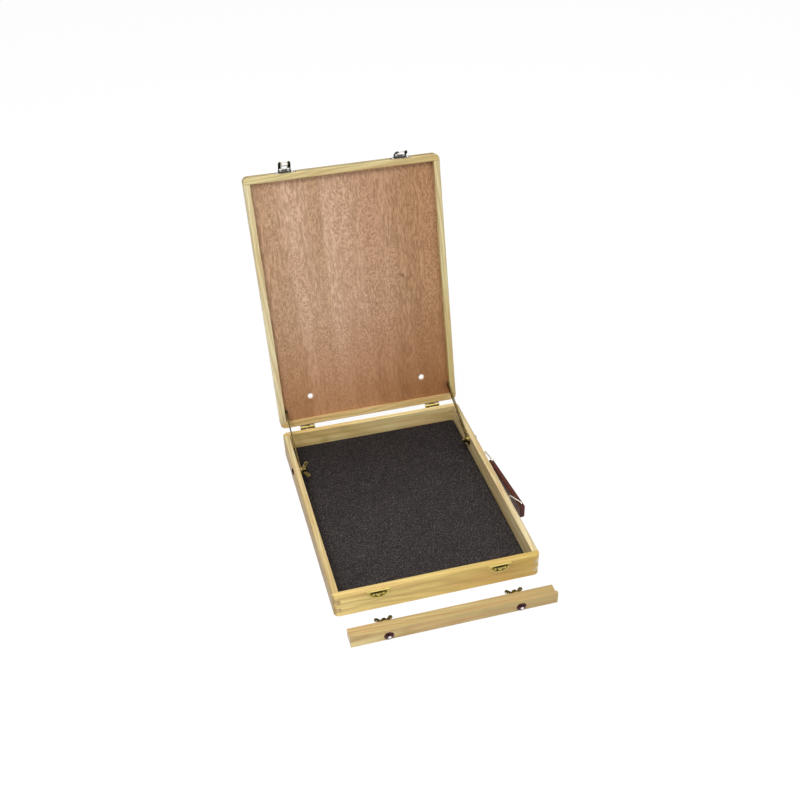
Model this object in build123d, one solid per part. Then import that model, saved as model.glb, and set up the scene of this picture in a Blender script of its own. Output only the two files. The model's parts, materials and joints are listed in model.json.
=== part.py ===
from build123d import *
import math
import os

os.makedirs("parts", exist_ok=True)

# Box carcass. Millimetres, X to the right, Y to the back, Z up, origin under the tray.
BOX_W = 310.0
BOX_D = 410.0
TRAY_H = 40.0
LID_H = 20.0
WALL = 10.0
CORNER_R = 8.0
EDGE_CUT = 1.2
TRAY_FINGERS = 5
LID_FINGERS = 3
FLOOR_T = 4.0
FLOOR_REBATE = 5.0
PANEL_T = 3.0
PANEL_GROOVE = 4.0
LID_RECESS = 8.0
RIM_GAP = 0.05
FOAM_T = 10.0
FOAM_GAP = 0.4
FOAM_CORNER_R = 5.0
JOINERY_GAP = 0.05
RUN_GAP = 0.05
FIX_GAP = 0.02

# How far a cutting shape runs past what it cuts.
CUT = 1.0

# Lid, shown held open by its stays.
LID_OPEN = 103.5
HINGE_OFF = 4.0
HINGE_Y = BOX_D / 2 + HINGE_OFF
HINGE_AXIS = Axis((0, HINGE_Y, TRAY_H), (1, 0, 0))
LID_Z = TRAY_H + RIM_GAP

# Butt hinges.
HINGE_X = 110.5
HINGE_W = 25.0
LEAF_H = 16.0
LEAF_T = 1.2
KNUCKLE_R = HINGE_OFF - LEAF_T
KNUCKLE_GAP = 0.2
LEAF_CORNER_R = 2.0
HINGE_PIN_R = 1.2

# Slotted stays, one inside each side wall.
STAY_W = 10.0
STAY_T = 1.5
STAY_SLOT_START = 26.0
STAY_TAIL = 4.0
STAY_SCREW_IN = 7.0
STAY_LID_S = 27.5
STAY_LID_D = 2.8
STAY_BOLT_IN = 100.0
STAY_BOLT_DROP = 8.0
STAY_BOLT_R = 2.5
SLOT_GAP = 0.1
STAY_SCREW_R = 1.5
STAY_SCREW_HEAD_R = 3.2
STAY_SCREW_HEAD_H = 2.0
HOLE_END_GAP = 0.2
SPACER_T = 1.4
SPACER_R = 5.5
WASHER_T = 1.0
FACE_GAP = 0.05
BOLT_HEAD_R = 6.7
BOLT_HEAD_H = 3.4
BOLT_TIP = 1.2

# Wing nuts: half span, height, hub radius at the foot, hub radius at the top, hub height.
NUT_SMALL = (13.0, 12.0, 4.6, 3.7, 6.5)
NUT_LARGE = (13.5, 12.5, 5.2, 4.2, 7.0)
NUT_WING_T = 1.8
NUT_EAR_R = 3.1
EAR_OUT = (0.92, -0.4)
EAR_IN = (-0.8, 0.6)
NUT_CORE = 1.5
WING_ROOT = 0.8
WING_BELOW_TOP = 0.6
FOOT_SINK = 0.2
TOP_SINK = 0.4
STAY_NUT_TURN = {"left": 42.0, "right": 42.0}

# Half-moon catch plates on both halves and the flip levers.
CATCH_X = {"left": -89.5, "right": 92.5}
PLATE_W = 34.0
PLATE_H = 16.0
PLATE_T = 0.8
PLATE_SIDE = 2.0
KEEPER_DROP = 1.6
KEEPER_LIP = 2.2
LIP_CORNER_R = 1.2
HOOK_W = 9.0
HOOK_OUT = 2.6
HOOK_DROP = 4.2
HOOK_LIP = 3.0
CATCH_GAP = 0.6
LATCH_PLATE_RISE = 1.0
PIVOT_OUT = 3.8
PIVOT_RISE = 4.0
LUG_X = 7.4
LUG_T = 0.9
LUG_R = 1.8
LEVER_W = 19.0
LEVER_L = 18.0
LEVER_T = 0.8
LEVER_FACE = 2.8
LEVER_FLANGE = 3.0
LEVER_WEB_START = 1.4
LEVER_WINDOW = (8.0, 2.4, 7.0)
HOUSING_W = 8.4
HOUSING_RISE = 1.7
HOUSING_OUT = 1.6
HOUSING_T = 0.6
LEVER_TIP_R = 5.0
LATCH_PIN_R = 0.9
LATCH_PIN_PROUD = 0.6
CATCH_W = 8.0
LEVER_OPEN = {"left": 44.0, "right": 20.0}

# Carrying handle on the right wall.
RING_FROM_BOLT = 37.0
RING_SPAN = 120.0
RING_OUT = 6.0
RING_Z = 16.0
RING_L = 26.5
RING_WIRE_R = 1.1
RING_BEND_R = 2.4
RING_ANGLE = {"rear": 8.0, "front": 27.0}
GRIP_H = 22.6
GRIP_T = 7.6
GRIP_END = 5.4
GRIP_EDGE_R = 1.6
GRIP_END_CUT = 0.7
GRIP_EYE_LONG = 3.0
GRIP_EYE_PLAY = 0.75
GRIP_EYE_SHIFT = 0.8
RING_SIDE_GAP = 0.3
SADDLE_L = 12.0
SADDLE_T = 1.0
SADDLE_W = 11.0
SADDLE_CORNER_R = 2.5
SADDLE_H = 24.0

# Ledge bar, taken off and lying in front of the box.
LEDGE_L = 305.0
LEDGE_X = 7.0
LEDGE_APART = 37.9
LEDGE_DEPTH = 24.0
LEDGE_SHELF = 13.2
LEDGE_LIP_H = 19.5
LEDGE_LIP_T = 5.0
LEDGE_EDGE_R = 1.0
LEDGE_BOLT_X = 97.5
LEDGE_BOLT_Z = 6.9
LEDGE_BOLT_R = 3.0
LEDGE_HEAD_R = 7.4
LEDGE_HEAD_H = 3.6
LEDGE_HEAD_CLEAR = 0.1
LEDGE_WASHER_R = 6.6
PANEL_HOLE_R = 4.0
PANEL_HOLE_S = 47.5

INNER_W = BOX_W - 2 * WALL
INNER_D = BOX_D - 2 * WALL
FRONT_Y = -BOX_D / 2
BACK_Y = BOX_D / 2
STAY_BOLT_Y = BACK_Y - STAY_BOLT_IN
STAY_BOLT_Z = TRAY_H - STAY_BOLT_DROP
LEDGE_FRONT_Y = FRONT_Y - LEDGE_APART - LEDGE_DEPTH
RING_REAR_Y = STAY_BOLT_Y - RING_FROM_BOLT
RING_MOUNT_Y = {"rear": RING_REAR_Y, "front": RING_REAR_Y - RING_SPAN}
SIDES = {"left": -1, "right": 1}


def save(name, *shapes):
    solids = [s for shape in shapes for s in shape.solids()]
    export_step(Compound(label=name, children=solids), f"parts/{name}.step")


def block(x0, x1, y0, y1, z0, z1):
    middle = ((x0 + x1) / 2, (y0 + y1) / 2, (z0 + z1) / 2)
    return Pos(*middle) * Box(x1 - x0, y1 - y0, z1 - z0)


def rod(start, end, radius):
    a = Vector(*start)
    b = Vector(*end)
    return extrude(Plane(a, z_dir=b - a) * Circle(radius), (b - a).length)


def dome(centre, direction, radius, height):
    """Round head: a spherical cap of the given height on a flat foot."""
    ball_r = (radius * radius + height * height) / (2 * height)
    foot = Plane(Vector(*centre), z_dir=Vector(*direction))
    ball = foot * (Pos(0, 0, height - ball_r) * Sphere(ball_r))
    return ball & extrude(foot * Circle(radius), height)


def opened(shape):
    """Turn something built on the closed lid to where the open lid holds it."""
    return shape.rotate(HINGE_AXIS, -LID_OPEN)


# Frames with finger joints


def carcass(z0, height):
    outer = Pos(0, 0, z0) * extrude(RectangleRounded(BOX_W, BOX_D, CORNER_R), height)
    rims = outer.faces().filter_by(Axis.Z).edges()
    return chamfer(rims, EDGE_CUT) - block(-INNER_W / 2, INNER_W / 2, -INNER_D / 2, INNER_D / 2,
                                           z0 - CUT, z0 + height + CUT)


def corner_teeth(z0, height, count, sx):
    """The fingers that belong to one side wall, at its two ends."""
    step = height / count
    x0, x1 = sorted((sx * BOX_W / 2, sx * INNER_W / 2))
    teeth = []
    for sy in (-1, 1):
        y0, y1 = sorted((sy * BOX_D / 2, sy * INNER_D / 2))
        for i in range(1, count, 2):
            teeth.append(block(x0, x1, y0, y1, z0 + i * step, z0 + (i + 1) * step))
    return teeth


def frame_walls(z0, height, count):
    ring = carcass(z0, height)
    left_teeth = corner_teeth(z0, height, count, -1)
    right_teeth = corner_teeth(z0, height, count, 1)
    top = z0 + height
    walls = {}
    for name, sy in (("front", -1), ("back", 1)):
        y0, y1 = sorted((sy * BOX_D / 2, sy * INNER_D / 2))
        strip = block(-BOX_W / 2, BOX_W / 2, y0, y1, z0, top)
        walls[name] = (ring & strip) - left_teeth - right_teeth
    for name, sx, teeth in (("left", -1, left_teeth), ("right", 1, right_teeth)):
        x0, x1 = sorted((sx * BOX_W / 2, sx * INNER_W / 2))
        strip = block(x0, x1, -INNER_D / 2, INNER_D / 2, z0, top)
        walls[name] = ring & (strip + teeth)
    return walls


def tray_floor():
    half_w = INNER_W / 2 + FLOOR_REBATE
    half_d = INNER_D / 2 + FLOOR_REBATE
    rebate = block(-half_w, half_w, -half_d, half_d, -CUT, FLOOR_T)
    gap = JOINERY_GAP
    sheet = block(-half_w + gap, half_w - gap, -half_d + gap, half_d - gap, 0, FLOOR_T)
    return sheet, rebate


def foam_liner():
    half_w = INNER_W / 2 - FOAM_GAP
    half_d = INNER_D / 2 - FOAM_GAP
    sheet = block(-half_w, half_w, -half_d, half_d, FLOOR_T, FLOOR_T + FOAM_T)
    return fillet(sheet.edges().filter_by(Axis.Z), FOAM_CORNER_R)


def lid_panel():
    """Plywood sheet held in a groove, with the two ledge bolt holes."""
    z0 = LID_Z + LID_RECESS
    half_w = INNER_W / 2 + PANEL_GROOVE
    half_d = INNER_D / 2 + PANEL_GROOVE
    groove = block(-half_w, half_w, -half_d, half_d, z0, z0 + PANEL_T)
    gap = JOINERY_GAP
    sheet = block(-half_w + gap, half_w - gap, -half_d + gap, half_d - gap, z0, z0 + PANEL_T)
    hole_y = BACK_Y - PANEL_HOLE_S
    for x in (-LEDGE_BOLT_X, LEDGE_BOLT_X):
        sheet -= rod((x, hole_y, z0 - CUT), (x, hole_y, z0 + PANEL_T + CUT), PANEL_HOLE_R)
    return sheet, groove


# Hinges


def hinge_leaf(x, up):
    """One leaf with its knuckles: up is -1 for the tray leaf and +1 for the lid leaf."""
    half = HINGE_W / 2
    third = HINGE_W / 3
    start = KNUCKLE_R - LEAF_T
    z0, z1 = sorted((TRAY_H + up * start, TRAY_H + up * (start + LEAF_H)))
    leaf = block(x - half, x + half, BACK_Y, BACK_Y + LEAF_T, z0, z1)
    outer_edges = leaf.edges().filter_by(Axis.Y).sort_by(Axis.Z)
    leaf = fillet(outer_edges[-2:] if up > 0 else outer_edges[:2], LEAF_CORNER_R)
    inner = third / 2 - KNUCKLE_GAP
    spans = [(x - inner, x + inner)] if up > 0 else [(x - half, x - third / 2),
                                                     (x + third / 2, x + half)]
    for x0, x1 in spans:
        w0, w1 = sorted((TRAY_H + up * start, TRAY_H + up * KNUCKLE_R))
        leaf += block(x0, x1, BACK_Y, HINGE_Y, w0, w1)
        leaf += rod((x0, HINGE_Y, TRAY_H), (x1, HINGE_Y, TRAY_H), KNUCKLE_R)
    bore = HINGE_PIN_R + (RUN_GAP if up > 0 else FIX_GAP)
    return leaf - rod((x - half - CUT, HINGE_Y, TRAY_H), (x + half + CUT, HINGE_Y, TRAY_H), bore)


def hinge_pin(x):
    half = HINGE_W / 2
    return rod((x - half, HINGE_Y, TRAY_H), (x + half, HINGE_Y, TRAY_H), HINGE_PIN_R)


# Catches: a half-moon plate on each half and a flip lever that hangs over the keeper


def half_moon(x, z_edge, down):
    """Half-moon plate on the front face, flat edge at z_edge, round side down or up."""
    half = PLATE_W / 2
    with BuildSketch() as outline:
        with BuildLine():
            Polyline((half, -PLATE_SIDE), (half, 0), (-half, 0), (-half, -PLATE_SIDE))
            ThreePointArc((-half, -PLATE_SIDE), (0, -PLATE_H), (half, -PLATE_SIDE))
        make_face()
    face = Plane((x, FRONT_Y, z_edge), x_dir=(1, 0, 0), z_dir=(0, -1, 0))
    turn = Rot(0, 0, 0) if down else Rot(180, 0, 0)
    sketch = face * (turn * outline.sketch)
    return extrude(sketch, amount=PLATE_T, dir=(0, -1, 0))


def keeper(x):
    """Keeper: half-moon plate with a folded top lip and a raised hook in its middle."""
    z = TRAY_H - KEEPER_DROP
    half = PLATE_W / 2
    face = FRONT_Y - PLATE_T
    plate = half_moon(x, z, True)
    lip = block(x - half, x + half, face - KEEPER_LIP, FRONT_Y, z - PLATE_T, z)
    plate += fillet(lip.edges().filter_by(Axis.Z).sort_by(Axis.Y)[:2], LIP_CORNER_R)
    neck_z = z - HOOK_DROP
    plate += block(x - HOOK_W / 2, x + HOOK_W / 2, face - HOOK_OUT, face, neck_z - PLATE_T, neck_z)
    plate += block(x - HOOK_W / 2, x + HOOK_W / 2, face - HOOK_OUT, face - HOOK_OUT + PLATE_T,
                   neck_z - HOOK_LIP, neck_z)
    return plate


def pivot_z():
    return TRAY_H + LATCH_PLATE_RISE + PIVOT_RISE


def latch_plate(x):
    """Lid half-moon plate with the two lugs that carry the lever pin."""
    plate = half_moon(x, TRAY_H + LATCH_PLATE_RISE, False)
    y = FRONT_Y - PIVOT_OUT
    for sx in (-1, 1):
        x0, x1 = sorted((x + sx * LUG_X, x + sx * (LUG_X + LUG_T)))
        lug = block(x0, x1, y, FRONT_Y - PLATE_T / 2, pivot_z() - LUG_R, pivot_z() + LUG_R)
        lug += rod((x0, y, pivot_z()), (x1, y, pivot_z()), LUG_R)
        plate += lug
    plate += latch_housing(x)
    reach = LEVER_W
    return plate - rod((x - reach, y, pivot_z()), (x + reach, y, pivot_z()), LATCH_PIN_R + FIX_GAP)


def latch_housing(x):
    """Bridge over the pin's middle, open at both ends like a short tunnel."""
    half = HOUSING_W / 2
    top = FRONT_Y - PIVOT_OUT - HOUSING_OUT
    z0, z1 = pivot_z() - HOUSING_RISE, pivot_z() + HOUSING_RISE
    inner = half - HOUSING_T
    bridge = block(x - half, x + half, top, FRONT_Y - PLATE_T / 2, z0, z1)
    tunnel = block(x - inner, x + inner, top + HOUSING_T, FRONT_Y - PLATE_T, z0 - CUT, z1 + CUT)
    return bridge - tunnel


def latch_pin(x):
    half = LEVER_W / 2 + LATCH_PIN_PROUD
    y = FRONT_Y - PIVOT_OUT
    return rod((x - half, y, pivot_z()), (x + half, y, pivot_z()), LATCH_PIN_R)


def lever(x, turn):
    """Pressed channel, built hanging closed over the keeper, then swung open by turn degrees."""
    y = FRONT_Y - PIVOT_OUT
    z = pivot_z()
    half = LEVER_W / 2
    web_y = y - LEVER_FACE
    tip_z = z - LEVER_L
    plate = block(x - half, x + half, web_y, web_y + LEVER_T, tip_z, z - LEVER_WEB_START)
    plate = fillet(plate.edges().filter_by(Axis.Y).sort_by(Axis.Z)[:2], LEVER_TIP_R)
    window_w, window_top, window_foot = LEVER_WINDOW
    plate -= block(x - window_w / 2, x + window_w / 2, web_y - CUT, web_y + LEVER_T + CUT,
                   z - window_foot, z - window_top)
    for sx in (-1, 1):
        x0, x1 = sorted((x + sx * half, x + sx * (half - LEVER_T)))
        plate += block(x0, x1, web_y, web_y + LEVER_FLANGE, tip_z + LEVER_TIP_R, z)
        plate += rod((x0, y, z), (x1, y, z), LEVER_FACE)
    catch_z = TRAY_H - KEEPER_DROP - HOOK_DROP - HOOK_LIP - CATCH_GAP
    catch_y = FRONT_Y - PLATE_T - HOOK_OUT / 2
    plate += block(x - CATCH_W / 2, x + CATCH_W / 2, web_y, catch_y, catch_z - LEVER_T, catch_z)
    reach = LEVER_W
    plate -= rod((x - reach, y, z), (x + reach, y, z), LATCH_PIN_R + RUN_GAP)
    return plate.rotate(Axis((x, y, z), (1, 0, 0)), -turn)


# Stays


def stay_lid_point(open_angle):
    """Height and depth of the stay's lid screw for a lid opened by open_angle."""
    a = math.radians(open_angle)
    s = STAY_LID_S + HINGE_OFF
    y = HINGE_Y - s * math.cos(a) + STAY_LID_D * math.sin(a)
    z = TRAY_H + s * math.sin(a) + STAY_LID_D * math.cos(a)
    return y, z


def stay_reach(open_angle):
    y, z = stay_lid_point(open_angle)
    dy = y - STAY_BOLT_Y
    dz = z - STAY_BOLT_Z
    return math.hypot(dy, dz), math.degrees(math.atan2(dz, dy))


STAY_OUTER_X = INNER_W / 2 - FACE_GAP - SPACER_T - FACE_GAP
STAY_INNER_X = STAY_OUTER_X - STAY_T
NUT_FOOT_X = STAY_INNER_X - FACE_GAP - WASHER_T - FACE_GAP
REACH_OPEN, STAY_ANGLE = stay_reach(LID_OPEN)


def along_stay(sx, distance):
    """Point on the stay's centre line, measured from the bolt towards the lid."""
    a = math.radians(STAY_ANGLE)
    y = STAY_BOLT_Y + distance * math.cos(a)
    z = STAY_BOLT_Z + distance * math.sin(a)
    return sx * STAY_INNER_X, y, z


def stay(sx):
    """Slotted strip: round ends, a pivot hole for the lid screw and a long slot."""
    outline = Pos(-REACH_OPEN / 2 + STAY_TAIL / 2, 0) * SlotCenterToCenter(
        REACH_OPEN + STAY_TAIL, STAY_W)
    outline -= Pos(-REACH_OPEN, 0) * Circle(STAY_SCREW_R + RUN_GAP)
    slot_l = REACH_OPEN - STAY_SLOT_START
    outline -= Pos(-slot_l / 2, 0) * SlotCenterToCenter(slot_l, 2 * (STAY_BOLT_R + SLOT_GAP))
    a = math.radians(STAY_ANGLE)
    inner = min(sx * STAY_INNER_X, sx * STAY_OUTER_X)
    plane = Plane((inner, STAY_BOLT_Y, STAY_BOLT_Z),
                  x_dir=(0, -math.cos(a), -math.sin(a)), z_dir=(1, 0, 0))
    return extrude(plane * outline, amount=STAY_T, dir=(1, 0, 0))


def stay_screw(sx):
    """Round-headed screw through the stay's eye into the lid's side rail, and its hole."""
    x, y, z = along_stay(sx, REACH_OPEN)
    head = dome((x - sx * FACE_GAP, y, z), (-sx, 0, 0), STAY_SCREW_HEAD_R, STAY_SCREW_HEAD_H)
    tip = sx * (INNER_W / 2 + STAY_SCREW_IN)
    screw = head + rod((x - sx * FACE_GAP, y, z), (tip, y, z), STAY_SCREW_R)
    hole = rod((x, y, z), (tip + sx * HOLE_END_GAP, y, z), STAY_SCREW_R + FIX_GAP)
    return screw, hole


def stay_washers(sx):
    y, z = STAY_BOLT_Y, STAY_BOLT_Z
    outer = rod((sx * (STAY_OUTER_X + FACE_GAP), y, z),
                (sx * (INNER_W / 2 - FACE_GAP), y, z), SPACER_R)
    inner = rod((sx * (NUT_FOOT_X + FACE_GAP), y, z),
                (sx * (STAY_INNER_X - FACE_GAP), y, z), SPACER_R)
    bore = rod((0, y, z), (sx * BOX_W, y, z), STAY_BOLT_R + FIX_GAP)
    return (outer - bore), (inner - bore)


def stay_bolt(sx):
    """Bolt through the side wall; its shank stops at both faces of the swinging stay."""
    y, z = STAY_BOLT_Y, STAY_BOLT_Z
    wall = sx * BOX_W / 2
    outer_end = sx * (STAY_OUTER_X + FACE_GAP)
    inner_end = sx * (STAY_INNER_X - FACE_GAP)
    tip = sx * (NUT_FOOT_X - NUT_SMALL[4] - BOLT_TIP)
    head = dome((wall, y, z), (sx, 0, 0), BOLT_HEAD_R, BOLT_HEAD_H)
    outer = head + rod((wall, y, z), (outer_end, y, z), STAY_BOLT_R)
    inner = rod((inner_end, y, z), (tip, y, z), STAY_BOLT_R)
    return outer, inner


def stay_bolt_hole(sx):
    y, z = STAY_BOLT_Y, STAY_BOLT_Z
    inner, outer = sx * (INNER_W / 2 - CUT), sx * (BOX_W / 2 + CUT)
    return rod((inner, y, z), (outer, y, z), STAY_BOLT_R + FIX_GAP)


def wing_nut(spec, bore_r):
    """Wing nut with its foot at the origin, wings along X, axis along +Z."""
    half_span, height, foot_r, top_r, hub_h = spec
    hub = Cone(foot_r, top_r, hub_h, align=(Align.CENTER, Align.CENTER, Align.MIN))
    ear_x = half_span - NUT_EAR_R
    ear_z = height - NUT_EAR_R
    outer_edge = (ear_x + NUT_EAR_R * EAR_OUT[0], ear_z + NUT_EAR_R * EAR_OUT[1])
    inner_edge = (ear_x + NUT_EAR_R * EAR_IN[0], ear_z + NUT_EAR_R * EAR_IN[1])
    top = hub_h - WING_BELOW_TOP
    with BuildSketch(Plane.XZ) as wing:
        with BuildLine():
            Polyline((NUT_CORE, WING_ROOT), (foot_r - FOOT_SINK, WING_ROOT), outer_edge,
                     inner_edge, (top_r - TOP_SINK, top), (NUT_CORE, top), (NUT_CORE, WING_ROOT))
        make_face()
        with Locations((ear_x, ear_z)):
            Circle(NUT_EAR_R)
    ear = extrude(wing.sketch, amount=NUT_WING_T / 2, both=True)
    nut = hub + ear + ear.rotate(Axis.Z, 180)
    return nut - rod((0, 0, -CUT), (0, 0, height + CUT), bore_r)


def stay_wing_nut(sx, turn):
    nut = wing_nut(NUT_SMALL, STAY_BOLT_R + RUN_GAP).rotate(Axis.Z, turn)
    plane = Plane((sx * NUT_FOOT_X, STAY_BOLT_Y, STAY_BOLT_Z), x_dir=(0, 1, 0), z_dir=(-sx, 0, 0))
    return plane * nut


# Handle


def ring_tip(which):
    a = math.radians(RING_ANGLE[which])
    x = BOX_W / 2 + RING_OUT + RING_L * math.sin(a)
    return x, RING_MOUNT_Y[which] - RING_L * math.cos(a)


def handle_ring(which):
    """Closed wire ring, mitred at its bends: one upright in the saddle, one through the grip."""
    x0 = BOX_W / 2 + RING_OUT
    y0 = RING_MOUNT_Y[which]
    x1, y1 = ring_tip(which)
    height = GRIP_H + 2 * (RING_SIDE_GAP + RING_BEND_R)
    across = Vector(x1 - x0, y1 - y0, 0).normalized()
    middle = Vector((x0 + x1) / 2, (y0 + y1) / 2, RING_Z)
    plane = Plane(middle, x_dir=across, z_dir=across.cross(Vector(0, 0, 1)))
    half_l = RING_L / 2
    half_h = height / 2
    cut = RING_BEND_R * (2 - math.sqrt(2))
    corners = [(0, half_h), (half_l - cut, half_h), (half_l, half_h - cut),
               (half_l, cut - half_h), (half_l - cut, -half_h), (cut - half_l, -half_h),
               (-half_l, cut - half_h), (-half_l, half_h - cut), (cut - half_l, half_h)]
    path = Polyline(*corners, close=True)
    section = Plane((0, half_h, 0), z_dir=(1, 0, 0)) * Circle(RING_WIRE_R)
    return plane * sweep(section, path=path, transition=Transition.RIGHT)


def handle_grip():
    """Flat strap with rounded long edges, a round eye at the rear and a long eye in front."""
    xr, yr = ring_tip("rear")
    xf, yf = ring_tip("front")
    span = math.hypot(xr - xf, yr - yf)
    skew = math.degrees(math.atan2(xf - xr, yr - yf))
    strap = Box(GRIP_T, span + 2 * GRIP_END, GRIP_H)
    strap = fillet(strap.edges().filter_by(Axis.Y), GRIP_EDGE_R)
    ends = strap.faces().sort_by(Axis.Y)
    strap = chamfer(ends[0].edges() + ends[-1].edges(), GRIP_END_CUT)
    strap -= rod((0, span / 2, -GRIP_H), (0, span / 2, GRIP_H), RING_WIRE_R + RUN_GAP)
    eye_w = 2 * (RING_WIRE_R + GRIP_EYE_PLAY)
    eye = Pos(0, -span / 2 + GRIP_EYE_SHIFT, -GRIP_H) * (Rot(0, 0, 90) * SlotOverall(
        eye_w + GRIP_EYE_LONG, eye_w))
    strap -= extrude(eye, 2 * GRIP_H)
    return Pos((xr + xf) / 2, (yr + yf) / 2, RING_Z) * (Rot(0, 0, skew) * strap)


def ring_saddle(which):
    """Plate on the wall with a half-round saddle over the ring's upright."""
    wall = BOX_W / 2
    y = RING_MOUNT_Y[which]
    plate = block(wall, wall + SADDLE_T, y - SADDLE_W / 2, y + SADDLE_W / 2,
                  RING_Z - SADDLE_H / 2, RING_Z + SADDLE_H / 2)
    plate = fillet(plate.edges().filter_by(Axis.X), SADDLE_CORNER_R)
    bore = RING_WIRE_R + RUN_GAP
    centre = wall + RING_OUT
    low, high = RING_Z - SADDLE_L / 2, RING_Z + SADDLE_L / 2
    hump = rod((centre, y, low), (centre, y, high), bore + SADDLE_T)
    hump += block(wall, centre, y - bore - SADDLE_T, y + bore + SADDLE_T, low, high)
    return plate + (hump - rod((centre, y, low - CUT), (centre, y, high + CUT), bore))


# Ledge bar


def ledge_profile():
    y0 = LEDGE_FRONT_Y
    bar = block(LEDGE_X - LEDGE_L / 2, LEDGE_X + LEDGE_L / 2, y0, y0 + LEDGE_DEPTH, 0, LEDGE_SHELF)
    bar += block(LEDGE_X - LEDGE_L / 2, LEDGE_X + LEDGE_L / 2, y0, y0 + LEDGE_LIP_T,
                 0, LEDGE_LIP_H)
    top = bar.edges().filter_by(Axis.X).group_by(Axis.Z)[-1]
    return fillet(top, LEDGE_EDGE_R)


def ledge_bolt_feet():
    return [LEDGE_X - LEDGE_BOLT_X, LEDGE_X + LEDGE_BOLT_X]


def ledge_bar():
    bar = ledge_profile()
    for x in ledge_bolt_feet():
        bar -= rod((x, LEDGE_FRONT_Y - CUT, LEDGE_BOLT_Z),
                   (x, LEDGE_FRONT_Y + LEDGE_DEPTH + CUT, LEDGE_BOLT_Z), LEDGE_BOLT_R + FIX_GAP)
    return bar


LEDGE_BACK_Y = LEDGE_FRONT_Y + LEDGE_DEPTH
LEDGE_NUT_Y = LEDGE_BACK_Y + WASHER_T + FACE_GAP


def ledge_bolt(x):
    """Bolt with a round head on the front face; the head stays clear of the table."""
    head = dome((x, LEDGE_FRONT_Y, LEDGE_BOLT_Z), (0, -1, 0), LEDGE_HEAD_R, LEDGE_HEAD_H)
    table_side = head.bounding_box().min.Z
    head -= block(x - LEDGE_HEAD_R, x + LEDGE_HEAD_R, LEDGE_FRONT_Y - LEDGE_HEAD_H - CUT,
                  LEDGE_FRONT_Y + CUT, table_side - CUT, LEDGE_HEAD_CLEAR)
    tip = LEDGE_NUT_Y + NUT_LARGE[4] + BOLT_TIP
    return head + rod((x, LEDGE_FRONT_Y, LEDGE_BOLT_Z), (x, tip, LEDGE_BOLT_Z), LEDGE_BOLT_R)


def ledge_washer(x):
    z = LEDGE_BOLT_Z
    ring = rod((x, LEDGE_BACK_Y, z), (x, LEDGE_BACK_Y + WASHER_T, z), LEDGE_WASHER_R)
    return ring - rod((x, LEDGE_BACK_Y - CUT, z), (x, LEDGE_NUT_Y + CUT, z), LEDGE_BOLT_R + FIX_GAP)


def ledge_wing_nut(x):
    nut = wing_nut(NUT_LARGE, LEDGE_BOLT_R + RUN_GAP)
    plane = Plane((x, LEDGE_NUT_Y, LEDGE_BOLT_Z), x_dir=(1, 0, 0), z_dir=(0, 1, 0))
    return plane * nut


# Assembly

tray = frame_walls(0, TRAY_H, TRAY_FINGERS)
lid = frame_walls(LID_Z, LID_H, LID_FINGERS)
floor, floor_rebate = tray_floor()
panel, panel_groove = lid_panel()

for name, wall in tray.items():
    if name in SIDES:
        wall -= stay_bolt_hole(SIDES[name])
    save(f"tray_{name}", wall - floor_rebate)
for name, wall in lid.items():
    rail = opened(wall - panel_groove)
    if name in SIDES:
        rail -= stay_screw(SIDES[name])[1]
    save(f"lid_{name}", rail)
save("tray_floor", floor)
save("foam_liner", foam_liner())
save("lid_panel", opened(panel))

save("hinge_leaves_tray", *[hinge_leaf(x, -1) for x in (-HINGE_X, HINGE_X)])
save("hinge_leaves_lid", *[opened(hinge_leaf(x, 1)) for x in (-HINGE_X, HINGE_X)])
save("hinge_pins", *[hinge_pin(x) for x in (-HINGE_X, HINGE_X)])

save("keepers", *[keeper(x) for x in CATCH_X.values()])
save("latch_plates", *[opened(latch_plate(x)) for x in CATCH_X.values()])
save("latch_pins", *[opened(latch_pin(x)) for x in CATCH_X.values()])

save("stay_bolts", *[solid for sx in SIDES.values() for solid in stay_bolt(sx)])
save("stay_washers", *[solid for sx in SIDES.values() for solid in stay_washers(sx)])
save("stay_screws", *[stay_screw(sx)[0] for sx in SIDES.values()])
for side, sx in SIDES.items():
    save(f"latch_lever_{side}", opened(lever(CATCH_X[side], LEVER_OPEN[side])))
    save(f"stay_{side}", stay(sx))
    save(f"stay_wing_nut_{side}", stay_wing_nut(sx, STAY_NUT_TURN[side]))

save("handle_saddles", *[ring_saddle(which) for which in RING_MOUNT_Y])
for which in RING_MOUNT_Y:
    save(f"handle_ring_{which}", handle_ring(which))
save("handle_grip", handle_grip())

save("ledge_bar", ledge_bar())
save("ledge_bolts", *[ledge_bolt(x) for x in ledge_bolt_feet()])
save("ledge_washers", *[ledge_washer(x) for x in ledge_bolt_feet()])
for side, x in zip(SIDES, ledge_bolt_feet()):
    save(f"ledge_wing_nut_{side}", ledge_wing_nut(x))
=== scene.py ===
import json
import math

import bpy
import numpy as np
from mathutils import Matrix, Vector


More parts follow.
